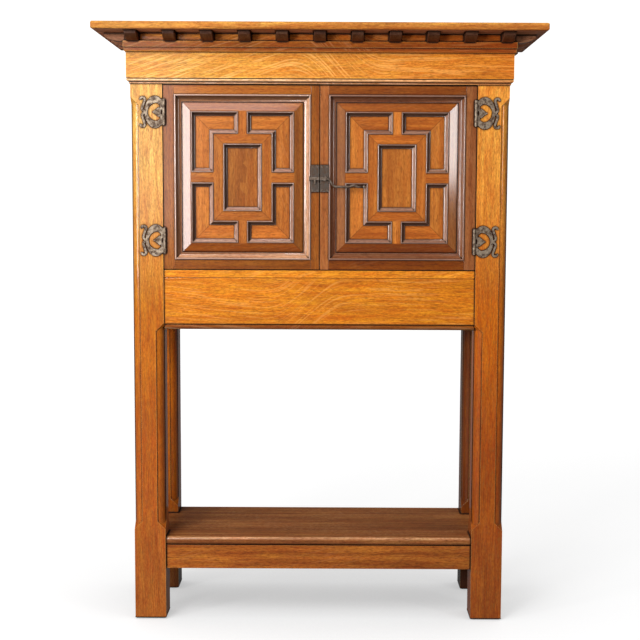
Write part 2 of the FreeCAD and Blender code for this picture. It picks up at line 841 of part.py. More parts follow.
def pointed_window(x, z, y0, y1):
    """The opening in the ring: two arcs that meet in a point on the left, closed by the spine."""
    left = vec(x - plate_width / 2 + ring_point_width, y0, z)
    right = hinge_x - knuckle_radius - spine_width
    reach = plate_height / 2 - ring_band_width
    edges = []
    for side in (1, -1):
        crown = vec(x + ring_point_width, y0, z + side * reach)
        corner = vec(right, y0, z + side * (reach - ring_point_width))
        edges.append(Part.Arc(left, vec(x - plate_width / 4, y0, z + side * reach * math.sin(math.pi / 4)),
                              crown).toShape())
        edges.append(Part.LineSegment(crown, corner).toShape())
    edges.append(Part.LineSegment(vec(right, y0, z + reach - ring_point_width),
                                  vec(right, y0, z - reach + ring_point_width)).toShape())
    return face_of(edges).extrude(vec(0, y1 - y0, 0))


def heart(x, z, y0, y1):
    """The heart in the window, its point to the left and its lobes on the spine."""
    tip = vec(x - heart_length, y0, z)
    edges = []
    roots = []
    for side in (1, -1):
        lobe = vec(x - heart_length / 4, y0, z + side * heart_height / 2)
        root = vec(x, y0, z + side * heart_height * 3 / 8)
        hollow = vec(x - heart_length * 5 / 8, y0, z + side * heart_height / 5)
        brow = vec(x - heart_length / 12, y0, z + side * heart_height * 15 / 32)
        edges += [Part.Arc(tip, hollow, lobe).toShape(), Part.Arc(lobe, brow, root).toShape()]
        roots.append(root)
    edges.append(Part.LineSegment(*roots).toShape())
    return face_of(edges).extrude(vec(0, y1 - y0, 0))


def knuckle(z0, z1):
    return Part.makeCylinder(knuckle_radius, z1 - z0, vec(hinge_x, hinge_y, z0))


def pin_bore(z):
    length = knuckle_length + 2 * cut_overrun
    return Part.makeCylinder(hinge_pin_radius + pin_clearance, length,
                             vec(hinge_x, hinge_y, z - length / 2))


def hinge_plate(z):
    """The pierced plate on the post: ring, heart, spine and scroll, with the two fixed knuckles."""
    y0, y1 = front_y - plate_thickness, front_y
    x = hinge_x - plate_set_back
    right = hinge_x - knuckle_radius
    ring = ellipse_prism(x, z, plate_width / 2, plate_height / 2, y0, y1)
    ring = ring.common(box(x - plate_width, right, y0, y1, z - plate_height, z + plate_height))
    ring = ring.cut(pointed_window(x, z, y0 - cut_overrun, y1 + cut_overrun))
    spine = box(right - spine_width, right, y0, y1, z - knuckle_length / 2, z + knuckle_length / 2)
    tie_x = x - plate_width / 2
    tie = box(tie_x - scroll_width, tie_x + ring_point_width / 2, y0, y1, z - scroll_width / 2, z + scroll_width / 2)
    pieces = [spine, tie, heart(right - spine_width, z, y0, y1)]
    pieces += [scroll_half(x, z, side, y0, y1) for side in (1, -1)]
    third = knuckle_length / 3
    for low in (z - knuckle_length / 2, z + third / 2):
        pieces.append(knuckle(low, low + third))
        pieces.append(box(right - joint_gap, hinge_x, hinge_y, front_y - joint_gap, low, low + third))
    plate = ring.fuse(pieces)
    half_gap = third / 2 + joint_gap
    room = box(right - joint_gap, hinge_x + knuckle_radius, hinge_y - 2 * knuckle_radius, y1 + cut_overrun,
               z - third / 2, z + third / 2)
    eye = ellipse_prism(right - spine_width / 2, z, eye_width / 4, eye_height / 2, y0 - cut_overrun, y1 + cut_overrun)
    return plate.cut([pin_bore(z), room, eye]).removeSplitter()


def hinge_leaf(z):
    """The moving leaf on the door's edge with the middle knuckle."""
    third = knuckle_length / 3
    low, high = z - third / 2 + joint_gap, z + third / 2 - joint_gap
    x0, x1 = door_left, door_left + leaf_thickness
    leaf = box(x0, x1, door_front, door_front + leaf_depth, z - knuckle_length / 2, z + knuckle_length / 2)
    neck = box(x0, x1, hinge_y, door_front + leaf_depth, low, high)
    return leaf.fuse([neck, knuckle(low, high)]).cut(pin_bore(z)).removeSplitter()


def hinge_pin(z):
    """The pin, with a head above and below its knuckles."""
    pin = Part.makeCylinder(hinge_pin_radius, knuckle_length, vec(hinge_x, hinge_y, z - knuckle_length / 2))
    low = z - knuckle_length / 2 - pin_head_height
    heads = []
    for base in (low, z + knuckle_length / 2):
        head = Part.makeCylinder(pin_head_radius, pin_head_height, vec(hinge_x, hinge_y, base))
        heads.append(head)
    return pin.fuse(heads).removeSplitter()


def nail_places(z):
    x = hinge_x - plate_set_back
    return [(x, z + side * plate_height * nail_height_share) for side in (1, -1)]


def nail(x, z):
    """A nail through a hinge plate into the post."""
    shank = disc_y(x, z, nail_radius, front_y - plate_thickness, front_y + nail_length)
    head = disc_y(x, z, nail_head_radius, front_y - plate_thickness - nail_head_height,
                  front_y - plate_thickness)
    return shank.fuse(head).removeSplitter()


def nail_holes():
    holes = []
    for z in (hinge_high, hinge_low):
        for x, level in nail_places(z):
            holes.append(disc_y(x, level, nail_radius, front_y - plate_thickness - cut_overrun,
                                front_y + nail_length))
    return holes


# Latch
def latch_plate(left):
    """A plate on a meeting stile, with a rivet head in each corner."""
    edge = -door_right + (meeting_stile_width - latch_plate_width) / 2
    y1 = door_front
    y0 = y1 - latch_plate_thickness
    low, high = latch_height - latch_plate_height / 2, latch_height + latch_plate_height / 2
    plate = box(edge, edge + latch_plate_width, y0, y1, low, high)
    rivets = []
    for x in (edge + latch_rivet_inset, edge + latch_plate_width - latch_rivet_inset):
        for z in (low + latch_rivet_inset, high - latch_rivet_inset):
            rivets.append(disc_y(x, z, latch_rivet_radius, y0 - latch_rivet_height, y0))
    plate = plate.fuse(rivets).removeSplitter()
    if left:
        return mirrored(plate)
    return plate.cut(pivot_hole())


def pivot_hole():
    return disc_y(lever_pivot_x, latch_height, pivot_radius, lever_y - lever_thickness,
                  door_front + pivot_depth)


def latch_pivot():
    """The pin that the lever turns on, driven through the plate into the stile."""
    shank = disc_y(lever_pivot_x, latch_height, pivot_radius, lever_y - lever_thickness / 2 - joint_gap,
                   door_front + pivot_depth)
    top = lever_y - lever_thickness / 2 - joint_gap
    head = disc_y(lever_pivot_x, latch_height, pivot_head_radius, top - pivot_head_height, top)
    return shank.fuse(head).removeSplitter()


def bar(x0, x1):
    return box(x0, x1, lever_y - lever_thickness / 2, lever_y + lever_thickness / 2,
               latch_height - lever_bar_height / 2, latch_height + lever_bar_height / 2)


def tail_step(x, z, heading, size, sweep):
    """The next stretch of the tail and where it ends: an arc of radius size, or a straight when sweep is zero."""
    start = vec(x, lever_y, z)
    if sweep == 0:
        turn = math.radians(heading)
        end = start + vec(math.cos(turn), 0, math.sin(turn)) * size
        return Part.LineSegment(start, end).toShape(), end.x, end.z, heading
    side = math.copysign(90, sweep)
    centre = start + vec(math.cos(math.radians(heading + side)), 0, math.sin(math.radians(heading + side))) * size
    spots = []
    for part in (0, sweep / 2, sweep):
        angle = math.radians(heading - side + part)
        spots.append(centre + vec(math.cos(angle), 0, math.sin(angle)) * size)
    return Part.Arc(*spots).toShape(), spots[2].x, spots[2].z, heading + sweep


def latch_lever():
    """The lever: a boss on the pivot, a short arm to the keeper and a forged tail that drops, runs level and waves."""
    x, z, heading = lever_pivot_x + lever_boss_radius - tail_radius, latch_height, 0
    wave = [(tail_wave_radius, tail_wave_degrees), (tail_wave_radius, -2 * tail_wave_degrees),
            (tail_wave_radius, tail_wave_degrees)]
    steps = [(tail_drop_radius, -tail_drop_degrees), (tail_fall, 0), (tail_rise_radius, tail_drop_degrees),
             (tail_run, 0)] + wave + [(tail_tip_length, 0)]
    edges = []
    for size, sweep in steps:
        edge, x, z, heading = tail_step(x, z, heading, size, sweep)
        edges.append(edge)
    start = edges[0].Vertexes[0].Point
    ring = Part.Wire(Part.makeCircle(tail_radius, start, vec(1, 0, 0)))
    tail = Part.Wire(edges).makePipeShell([ring], True, False)
    end = Part.makeSphere(tail_end_radius, vec(x, lever_y, z))
    boss = disc_y(lever_pivot_x, latch_height, lever_boss_radius, lever_y - lever_thickness / 2,
                  lever_y + lever_thickness / 2)
    lever = boss.fuse([bar(lever_arm_gap, lever_pivot_x), tail, end])
    hole = disc_y(lever_pivot_x, latch_height, pivot_radius + pin_clearance, lever_y - lever_thickness,
                  lever_y + lever_thickness)
    return lever.cut(hole).removeSplitter()


def keeper():
    """The keeper on the left plate: a stem, the end of the bar and a hook that points down."""
    front = lever_y - lever_thickness / 2
    stem = disc_y(-keeper_stem_x, latch_height, keeper_stem_radius, front, door_front - latch_plate_thickness)
    low = latch_height - lever_bar_height / 2 - keeper_hook_length
    hook = box(-keeper_stem_x - keeper_hook_width / 2, -keeper_stem_x + keeper_hook_width / 2, front,
               lever_y + lever_thickness / 2, low, latch_height)
    return stem.fuse([bar(-keeper_reach, -lever_arm_gap), hook]).removeSplitter()


def build():
    os.makedirs("parts", exist_ok=True)

    front_post = largest(left_post(True).cut(nail_holes()))
    rear_post = largest(left_post(False))
    pairs = {
        "front_{}_post": front_post,
        "rear_{}_post": rear_post,
        "{}_frieze": left_frieze(),
        "{}_corbels": Part.makeCompound(left_corbels()),
        "{}_apron_rail": left_rail("apron"),
        "low_{}_rail": left_rail("low"),
        "{}_side_panel": left_side_panel(),
        "{}_door_hinge_stile": door_stile(True),
        "{}_door_meeting_stile": door_stile(False),
        "{}_door_top_rail": door_rail(True),
        "{}_door_bottom_rail": door_rail(False),
        "{}_door_panel": door_panel(),
        "{}_door_frame_mould": frame_mould(),
        "{}_door_panel_moulds": Part.makeCompound(panel_moulds()),
        "{}_upper_hinge_plate": hinge_plate(hinge_high).cut(nail_holes()),
        "{}_lower_hinge_plate": hinge_plate(hinge_low).cut(nail_holes()),
        "{}_upper_hinge_leaf": hinge_leaf(hinge_high),
        "{}_lower_hinge_leaf": hinge_leaf(hinge_low),
        "{}_hinge_pins": Part.makeCompound([hinge_pin(hinge_high), hinge_pin(hinge_low)]),
    }
    for name, shape in pairs.items():
        right = mirrored(shape)
        if name == "{}_door_meeting_stile":
            right = right.cut(pivot_hole())
        save(name.format("left"), shape)
        save(name.format("right"), right)

    save("front_frieze", front_frieze())
    save("front_corbels", front_corbels())
    save("top_board", top_board())
    save("front_apron_rail", front_apron_rail())
    save("rear_apron_rail", rear_rail("apron"))
    save("low_front_rail", low_front_rail())
    save("low_rear_rail", rear_rail("low"))
    save("low_shelf", low_shelf())
    save("cupboard_floor", cupboard_floor())
    save("ceiling_board", ceiling_board())
    save("inner_shelf", inner_shelf())
    save("shelf_bearers", [left_bearer(), mirrored(left_bearer())])
    save("rear_top_rail", rear_top_rail())
    save("back_boards", back_boards())
    save("door_stops", door_stops())
    nails = [nail(x, level) for z in (hinge_high, hinge_low) for x, level in nail_places(z)]
    save("hinge_nails", nails + [mirrored(n) for n in nails])
    save("left_latch_plate", latch_plate(True))
    save("right_latch_plate", latch_plate(False))
    save("latch_keeper", keeper())
    save("latch_pivot", latch_pivot())
    save("latch_lever", latch_lever())


build()
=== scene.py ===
import bpy
import bmesh
import json
import math
import numpy as np
from mathutils import Matrix, Vector

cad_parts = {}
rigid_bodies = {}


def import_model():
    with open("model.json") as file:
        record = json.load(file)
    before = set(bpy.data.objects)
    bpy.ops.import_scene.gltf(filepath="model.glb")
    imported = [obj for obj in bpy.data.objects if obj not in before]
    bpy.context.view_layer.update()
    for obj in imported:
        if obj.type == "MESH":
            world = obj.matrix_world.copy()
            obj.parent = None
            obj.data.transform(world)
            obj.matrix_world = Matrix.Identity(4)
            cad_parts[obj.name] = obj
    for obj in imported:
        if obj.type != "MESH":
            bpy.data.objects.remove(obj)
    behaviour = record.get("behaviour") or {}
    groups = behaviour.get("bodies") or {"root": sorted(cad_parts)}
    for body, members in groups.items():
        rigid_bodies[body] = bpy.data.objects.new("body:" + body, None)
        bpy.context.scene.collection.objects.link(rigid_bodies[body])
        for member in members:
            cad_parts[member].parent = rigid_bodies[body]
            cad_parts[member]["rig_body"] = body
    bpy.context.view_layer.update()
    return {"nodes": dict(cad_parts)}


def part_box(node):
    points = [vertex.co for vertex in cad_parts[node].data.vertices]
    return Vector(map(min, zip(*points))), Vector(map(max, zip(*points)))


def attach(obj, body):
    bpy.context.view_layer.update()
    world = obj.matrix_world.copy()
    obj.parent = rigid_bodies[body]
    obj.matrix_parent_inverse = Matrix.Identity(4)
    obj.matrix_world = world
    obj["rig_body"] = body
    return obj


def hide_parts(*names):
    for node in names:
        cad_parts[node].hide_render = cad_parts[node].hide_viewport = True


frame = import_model()


# Viewpoint: a long lens a little over three metres in front of the posts and a metre up, tipped some five
# degrees down. The picture's frame is shifted slightly from the lens's own axis.
def put_in_scene(name, data):
    """A new object that carries this data, in the scene."""
    made = bpy.data.objects.new(name, data)
    bpy.context.scene.collection.objects.link(made)
    return made


def photo_camera():
    """Pitch is up from level, yaw is to the left and roll lifts the right side, all in radians."""
    to_the_right, before_the_posts, above_the_floor = 0.0357, 3.1824, 1.0422
    pitch, yaw, roll = -0.0969, -0.0004, 0.0047
    post_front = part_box("front_left_post")[0].y
    place = Vector((to_the_right, post_front - before_the_posts, above_the_floor))
    forward = Vector((-math.sin(yaw) * math.cos(pitch), math.cos(yaw) * math.cos(pitch), math.sin(pitch)))
    level = Vector((math.cos(yaw), math.sin(yaw), 0))
    upright = level.cross(forward)
    right = level * math.cos(roll) + upright * math.sin(roll)
    up = upright * math.cos(roll) - level * math.sin(roll)
    lens = bpy.data.cameras.new("camera")
    lens.sensor_width = 36
    lens.lens = 72.17
    lens.shift_x = -0.0219
    lens.shift_y = 0.0208
    camera = put_in_scene("camera", lens)
    turn = Matrix((right, up, -forward)).transposed()
    camera.matrix_world = Matrix.Translation(place) @ turn.to_4x4()
    bpy.context.scene.camera = camera


photo_camera()


# Posts: four square oak posts, planed and waxed, with a quarter-round sunk into the corners. They are golden under
# the cornice and browner towards the feet, partly in the wood's own colour and partly as painted shade. Their colours
# differ from post to post as painted shade, and the rear right post's faces that look into the bay are painted
# darker.
def blank_tree(owner):
    """The emptied shader tree of a material or of the world."""
    owner.use_nodes = True
    owner.node_tree.nodes.clear()
    return owner.node_tree


def put(tree, kind, inputs=None, **settings):
    """A shader node, its inputs given as numbers or as the sockets that feed them."""
    made = tree.nodes.new(kind)
    for name, value in settings.items():
        setattr(made, name, value)
    for key, value in (inputs or {}).items():
        if isinstance(value, bpy.types.NodeSocket):
            tree.links.new(value, made.inputs[key])
        else:
            made.inputs[key].default_value = value
    return made


def reckon(tree, operation, *values):
    """One step of arithmetic on numbers or sockets."""
    return put(tree, "ShaderNodeMath", dict(enumerate(values)), operation=operation).outputs[0]


def rescaled(tree, value, start, end, first=0.0, last=1.0):
    """Runs from first to last while the value runs from start to end, and holds at both ends."""
    limits = {"Value": value, "From Min": start, "From Max": end, "To Min": first, "To Max": last}
    return put(tree, "ShaderNodeMapRange", limits).outputs[0]


def object_place(tree):
    """Where a point of the piece lies in the shared frame, whatever its body's pose."""
    return put(tree, "ShaderNodeTexCoord").outputs["Object"]


def object_axes(tree):
    """The same place as three numbers: to the right, to the back and up."""
    return put(tree, "ShaderNodeSeparateXYZ", {0: object_place(tree)}).outputs


def ramp(tree, value, stops):
    """A smooth scale of colours or greys; stops are (position, grey or colour)."""
    made = put(tree, "ShaderNodeValToRGB", {"Fac": value})
    scale = made.color_ramp
    while len(scale.elements) < len(stops):
        scale.elements.new(0.5)
    for mark, (position, shade) in zip(scale.elements, stops):
        mark.position = position
        mark.color = (*shade, 1) if isinstance(shade, tuple) else (shade, shade, shade, 1)
    return made.outputs["Color"]


def tint(tree, amount, base, over, mode="MIX"):
    """A colour laid over another. The node's sockets share their names, and 6 and 7 are those for colours."""
    made = put(tree, "ShaderNodeMix", data_type="RGBA", blend_type=mode)
    for socket, value in ((made.inputs[0], amount), (made.inputs[6], base), (made.inputs[7], over)):
        if isinstance(value, bpy.types.NodeSocket):
            tree.links.new(value, socket)
        else:
            socket.default_value = (*value, 1) if isinstance(value, tuple) else value
    return made.outputs[2]


def moved(tree, vector, by, operation="ADD"):
    """A vector added to, multiplied by or taken from another, the second given as numbers or as a socket."""
    return put(tree, "ShaderNodeVectorMath", {0: vector, 1: by}, operation=operation).outputs[0]


def grain_space(tree, grain, seed):
    """Object coordinates with X along the grain, set apart for each board and swaying a little, as trees do.

    grain is "X", "Y" or "Z", or "boards" where the piece's own attributes say how each board lies. The Mix node's
    sockets 4 and 5 are those for vectors.
    """
    place = object_place(tree)
    turns = {"X": (0, 0, 0), "Y": (0, 0, math.pi / 2), "Z": (0, math.pi / 2, 0)}

    def turned(axis):
        return put(tree, "ShaderNodeMapping", {"Vector": place, "Rotation": turns[axis]}).outputs[0]

    if grain == "boards":
        level = put(tree, "ShaderNodeAttribute", attribute_name="level_grain").outputs["Fac"]
        board = put(tree, "ShaderNodeAttribute", attribute_name="board").outputs["Fac"]
        mixed = put(tree, "ShaderNodeMix", data_type="VECTOR")
        tree.links.new(level, mixed.inputs[0])
        tree.links.new(turned("Z"), mixed.inputs[4])
        tree.links.new(turned("X"), mixed.inputs[5])
        along = mixed.outputs[1]
    else:
        along = turned(grain)
        board = put(tree, "ShaderNodeNewGeometry").outputs["Random Per Island"]
    between_boards, between_pieces, sway_reach = (3.1, 1.7, 2.3), (1.37, 0.71, 2.13), (0, 0.016, 0.016)
    apart = put(tree, "ShaderNodeVectorMath", {0: between_boards, "Scale": board}, operation="SCALE").outputs[0]
    along = moved(tree, moved(tree, along, apart), tuple(seed * step for step in between_pieces))
    bend = put(tree, "ShaderNodeTexNoise", {"Vector": along, "Scale": 3.0, "Detail": 3.0}).outputs["Color"]
    sway = moved(tree, moved(tree, bend, (0.5, 0.5, 0.5), "SUBTRACT"), sway_reach, "MULTIPLY")
    return moved(tree, along, sway)


def streaks(tree, space, along, across, detail=3.0, roughness=0.55):
    """Noise drawn out along the grain: along and across are its features per metre."""
    drawn = moved(tree, space, (along, across, across), "MULTIPLY")
    noise = {"Vector": drawn, "Scale": 1.0, "Detail": detail, "Roughness": roughness}
    return put(tree, "ShaderNodeTexNoise", noise).outputs["Fac"]


def arched(tree, space, arch):
    """The grain space bent so that level lines rise to the right, crest, run steeply down and level out.

    arch is (rise, fall, crest, foot): the two slopes, and where along the piece the lines turn over and level out.
    """
    rise, fall, crest, foot = arch
    softness = 0.07
    across = object_axes(tree)[0]
    past_crest = reckon(tree, "SMOOTH_MAX", reckon(tree, "SUBTRACT", across, crest), 0.0, softness)
    past_foot = reckon(tree, "SMOOTH_MAX", reckon(tree, "SUBTRACT", across, foot), 0.0, softness)
    lift = reckon(tree, "MULTIPLY_ADD", past_crest, rise + fall, reckon(tree, "MULTIPLY", across, -rise))
    lift = reckon(tree, "MULTIPLY_ADD", past_foot, -fall, lift)
    return moved(tree, space, put(tree, "ShaderNodeCombineXYZ", {2: lift}).outputs[0])


def ray_flecks(tree, space, rays, bare, arch, lean):
    """The strength of the pale flecks: ribbons that cross the grain, broken up into patches."""
    if arch:
        crossed = streaks(tree, arched(tree, space, arch), along=9, across=230, detail=2.0, roughness=0.4)
    else:
        leaning = put(tree, "ShaderNodeVectorRotate", {"Vector": space, "Axis": (0, 1, 0), "Angle": lean})
        crossed = streaks(tree, leaning.outputs[0], along=15, across=230, detail=2.0, roughness=0.4)
    ribbons = ramp(tree, crossed, [(0.52, 0.0), (0.64, 1.0)])
    clouds = streaks(tree, space, along=4.5, across=13, detail=2.0)
    patches = ramp(tree, clouds, [(bare, 0.0), (bare + 0.16, 1.0)])
    return reckon(tree, "MULTIPLY", reckon(tree, "MULTIPLY", ribbons, patches), rays)


def edge_turn(tree, radius):
    """1 on flat places, and less where the surface turns within this radius, as it does on an edge."""
    rounded = put(tree, "ShaderNodeBevel", {"Radius": radius}, samples=4).outputs[0]
    true = put(tree, "ShaderNodeNewGeometry").outputs["Normal"]
    return put(tree, "ShaderNodeVectorMath", {0: rounded, 1: true}, operation="DOT_PRODUCT").outputs["Value"]


def openness(tree, reach):
    """1 in the open, and less in a corner or a gap within this reach."""
    return put(tree, "ShaderNodeAmbientOcclusion", {"Distance": reach}, samples=8).outputs["AO"]


def mitre_lines(tree, mitres):
    """1 on the joints that run out at 45 degrees from a rectangle's corners, and 0 elsewhere.

    mitres is (x, z, half width, half height) of the rectangle. A point is on a joint where it lies as far outside
    the rectangle's side as outside its top.
    """
    x, z, half_width, half_height = mitres
    line_core, line_edge = 0.0004, 0.0011
    place = object_axes(tree)
    aside = reckon(tree, "ABSOLUTE", reckon(tree, "SUBTRACT", place[0], x))
    above = reckon(tree, "ABSOLUTE", reckon(tree, "SUBTRACT", place[2], z))
    aside = reckon(tree, "SUBTRACT", aside, half_width)
    above = reckon(tree, "SUBTRACT", above, half_height)
    off = reckon(tree, "ABSOLUTE", reckon(tree, "SUBTRACT", aside, above))
    line = rescaled(tree, off, line_core, line_edge, 1.0, 0.0)
    return reckon(tree, "MULTIPLY", line, reckon(tree, "GREATER_THAN", aside, 0.0))


def oak(name, light, late, grain, seed, rays=0.5, arch=None, lean=0.3, gloss=0.5, coat=0.5, shine=0.12,
        joint_dark_and_corner_shade=(0.03, 0.01, 0.004), heights=None, shade_to_right=None, edge_highlight=0.35, highlight_colour=None, nook=0.006, mitres=None,
        hue=0.5, figure=1.0, shade_openness=(0.74, 0.965), bare=0.42):
    """Waxed oak: fine drawn-out fibres, growth bands, pale ray flecks, dark open pores, painted shade in the corners
    and painted highlights along the edges.

    late is what the late wood multiplies the light colour by. rays is the flecks' strength, and lean or arch how
    they cross the grain. heights gives the light colour by height, as (height, colour) pairs, which on several pieces
    hold painted shade and painted highlights. drift is what the colour is multiplied by at the object's right end,
    as painted shade. wear is the strength of the painted highlights along the edges, rubbed their colour, and nook
    how far the painted shade reaches out of a corner. mitres draws the dark joints of mitred boards, and grime is
    their colour and that of the painted shade in the corners. hue is how much the wood wanders between red and
    yellow, and figure how strongly its fibres show. dirt is the openness of a corner at which the painted shade is
    full, and at which it ends. bare is how much of the board shows no flecks.
    """
    finish = bpy.data.materials.new(name)
    tree = blank_tree(finish)
    space = grain_space(tree, grain, seed)
    bands = streaks(tree, space, along=1.6, across=75, detail=4.0)
    fibre = streaks(tree, space, along=18, across=560, roughness=0.6)
    mottle = streaks(tree, space, along=6, across=26, detail=2.0)
    pores = ramp(tree, streaks(tree, space, along=70, across=620, detail=2.0), [(0.36, 1.0), (0.46, 0.0)])
    speck = streaks(tree, space, along=120, across=340, detail=2.0, roughness=0.7)
    redness = streaks(tree, space, along=16, across=110)

    high = light
    if heights:
        tallest = 1.5
        share = reckon(tree, "MULTIPLY", object_axes(tree)[2], 1 / tallest)
        high = ramp(tree, share, [(metres / tallest, shade) for metres, shade in heights])
    # On door boards the colour is multiplied by each face's tone, which is partly the board's own and partly painted
    # light and shade.
    if grain == "boards":
        tone = put(tree, "ShaderNodeAttribute", attribute_name="tone").outputs["Color"]
        high = tint(tree, 1.0, high, tone, "MULTIPLY")
    colour = tint(tree, ramp(tree, bands, [(0.38, 1.0), (0.62, 0.0)]), high, late, "MULTIPLY")
    dark_fibre, pale_fibre = (0.62, 0.46, 0.34), (1.16, 1.2, 1.2)
    fibres = ramp(tree, fibre, [(0.3, dark_fibre), (0.66, pale_fibre)])
    colour = tint(tree, 0.75 * figure, colour, fibres, "MULTIPLY")
    dark_speck, pale_speck = (0.72, 0.56, 0.42), (1.14, 1.18, 1.18)
    specks = ramp(tree, speck, [(0.34, dark_speck), (0.62, pale_speck)])
    colour = tint(tree, 0.7 * figure, colour, specks, "MULTIPLY")
    redder, neither, yellower = (0.94, 0.7, 0.55), (1.0, 1.0, 1.0), (1.08, 1.25, 1.1)
    reds = ramp(tree, redness, [(0.36, redder), (0.5, neither), (0.64, yellower)])
    colour = tint(tree, hue, colour, reds, "MULTIPLY")
    colour = tint(tree, 0.7, colour, ramp(tree, mottle, [(0.3, 0.8), (0.7, 1.12)]), "MULTIPLY")

    ray_lift, ray_cream = (1.15, 1.2, 1.35), (1.0, 0.85, 0.55)
    pale = tint(tree, 0.12, tint(tree, 1.0, high, ray_lift, "MULTIPLY"), ray_cream)
    colour = tint(tree, ray_flecks(tree, space, rays, bare, arch, lean), colour, pale)
    pore_brown = tuple(0.3 * c * d for c, d in zip(light, late))
    colour = tint(tree, reckon(tree, "MULTIPLY", pores, 0.5), colour, pore_brown)

    # Painted shade: the colour darkens towards the object's right end.
    if shade_to_right:
        left_end, right_end = -0.3, 0.5
        colour = tint(tree, rescaled(tree, object_axes(tree)[0], left_end, right_end), colour, shade_to_right, "MULTIPLY")
    # Painted highlights along the edges and on the crowns of the door mouldings' beads.
    edges = ramp(tree, edge_turn(tree, 0.0018), [(0.86, edge_highlight), (0.985, 0.0)])
    if grain == "boards":
        bead = put(tree, "ShaderNodeAttribute", attribute_name="bead").outputs["Fac"]
        edges = reckon(tree, "MAXIMUM", edges, bead)
    colour = tint(tree, edges, colour, highlight_colour or tuple(min(1.0, 1.5 * c + 0.1) for c in light))
    if mitres:
        joints = reckon(tree, "MULTIPLY", mitre_lines(tree, mitres), 0.6)
        colour = tint(tree, joints, colour, joint_dark_and_corner_shade)
    # Painted shade in corners and narrow gaps, where the surface is less open; the coat is thinned there too.
    corners = ramp(tree, openness(tree, nook), [(shade_openness[0], 1.0), (shade_openness[1], 0.0)])
    colour = tint(tree, corners, colour, joint_dark_and_corner_shade)

    coat_out_of_corners = reckon(tree, "MULTIPLY_ADD", corners, -coat, coat)
    relief = put(tree, "ShaderNodeBump", {"Height": reckon(tree, "SUBTRACT", fibre, pores), "Strength": 0.3,
                                          "Distance": 0.0002})
    rough = rescaled(tree, fibre, 0.0, 1.0, gloss - 0.06, gloss + 0.12)
    surface = put(tree, "ShaderNodeBsdfPrincipled", {
        "Base Color": colour, "Roughness": rough, "Normal": relief.outputs[0],
        "Coat Weight": coat_out_of_corners, "Coat Roughness": 0.12, "Specular IOR Level": shine})
    put(tree, "ShaderNodeOutputMaterial", {"Surface": surface.outputs[0]})
    return finish


def worked_copy(node, edge):
    """A copy of a CAD node with its triangles joined into faces and its edges eased by that radius."""
    same_spot, same_plane = 1e-5, math.radians(0.5)
    shaped = bmesh.new()
    shaped.from_mesh(frame["nodes"][node].data)
    bmesh.ops.remove_doubles(shaped, verts=shaped.verts, dist=same_spot)
    bmesh.ops.dissolve_limit(shaped, angle_limit=same_plane, verts=shaped.verts, edges=shaped.edges)
    mesh = bpy.data.meshes.new(node + "_worked")
    shaped.to_mesh(mesh)
    shaped.free()
    return ease_edges(put_in_scene(mesh.name, mesh), edge)


def ease_edges(piece, edge):
    """Takes the sharpness off a piece's edges, as a plane's last stroke and years of dusting do."""
    an_edge = math.radians(28)
    piece.data.shade_smooth()
    piece.data.set_sharp_from_angle(angle=an_edge)
    if edge:
        ease = piece.modifiers.new("ease", "BEVEL")
        ease.width = edge
        ease.segments = 2
        ease.limit_method = "ANGLE"
        ease.angle_limit = an_edge
        flat = piece.modifiers.new("flat", "WEIGHTED_NORMAL")
        flat.weight = 100
        flat.thresh = 0.0
        flat.keep_sharp = True
        eased = bpy.data.meshes.new_from_object(piece.evaluated_get(bpy.context.evaluated_depsgraph_get()))
        piece.modifiers.clear()
        piece.data = eased
    return piece


def worn_foot(piece, radius):
    """Rounds the bottom edges of a post, where it has been pushed over stone floors."""
    shaped = bmesh.new()
    shaped.from_mesh(piece.data)
    underside = [e for e in shaped.edges if all(v.co.z < 0.0001 for v in e.verts)]
    bmesh.ops.bevel(shaped, geom=underside, offset=radius, segments=4, profile=0.5, affect="EDGES")
    shaped.to_mesh(piece.data)
    shaped.free()


def face_vectors(mesh, kind):
    """The normal or the center of each face, as rows of three numbers."""
    values = np.empty(len(mesh.polygons) * 3)
    mesh.polygons.foreach_get(kind, values)
    return values.reshape(-1, 3)


def second_finish(piece, finish, faces):
    """Gives another finish to the faces that faces, a row of yes and no, picks out."""
    piece.data.materials.append(finish)
    piece.data.polygons.foreach_set("material_index", faces.astype(np.int32))


def stands_for(piece, node, finish):
    """Gives the piece its finish and lets it take the node's place on the node's body."""
    source = frame["nodes"][node]
    piece.data.materials.clear()
    piece.data.materials.append(finish)
    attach(piece, source["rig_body"])
    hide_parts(node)
    return piece


def wooden(node, edge, finish):
    """A wooden piece as its solid gives it, with its edges eased by that radius."""
    return stands_for(worked_copy(node, edge), node, finish)


gold = (0.84, 0.37, 0.075)
late_gold = (0.88, 0.76, 0.6)
# Colours by height for each post: browner towards the feet, partly in the wood and partly as painted shade, and
# different from post to post as painted shade.
left_by_height = [(0.05, (0.46, 0.14, 0.019)), (0.42, (0.45, 0.105, 0.004)), (0.8, (0.57, 0.18, 0.009)),
                  (1.2, (0.8, 0.44, 0.1))]
right_by_height = [(0.05, (0.35, 0.087, 0.008)), (0.42, (0.375, 0.08, 0.003)), (0.8, (0.57, 0.145, 0.004)),
                   (1.2, (0.88, 0.38, 0.06))]
rear_by_height = [(0.02, (0.16, 0.045, 0.006)), (0.13, (0.2, 0.055, 0.004)), (0.2, (0.32, 0.08, 0.002)),
                  (0.6, (0.58, 0.15, 0.001)), (1.2, (0.34, 0.1, 0.01))]
post_heights = {"front_left_post": left_by_height, "front_right_post": right_by_height,
                "rear_left_post": rear_by_height, "rear_right_post": rear_by_height}
post_wax = {"grain": "Z", "rays": 0.06, "lean": 0.12, "coat": 0.7}
posts = {}
for index, (post, heights) in enumerate(post_heights.items()):
    worn = worked_copy(post, edge=0)
    worn_foot(worn, radius=0.007)
    wax = oak(post, gold, late_gold, seed=1 + index, heights=heights, **post_wax)
    posts[post] = stands_for(ease_edges(worn, edge=0.0012), post, wax)
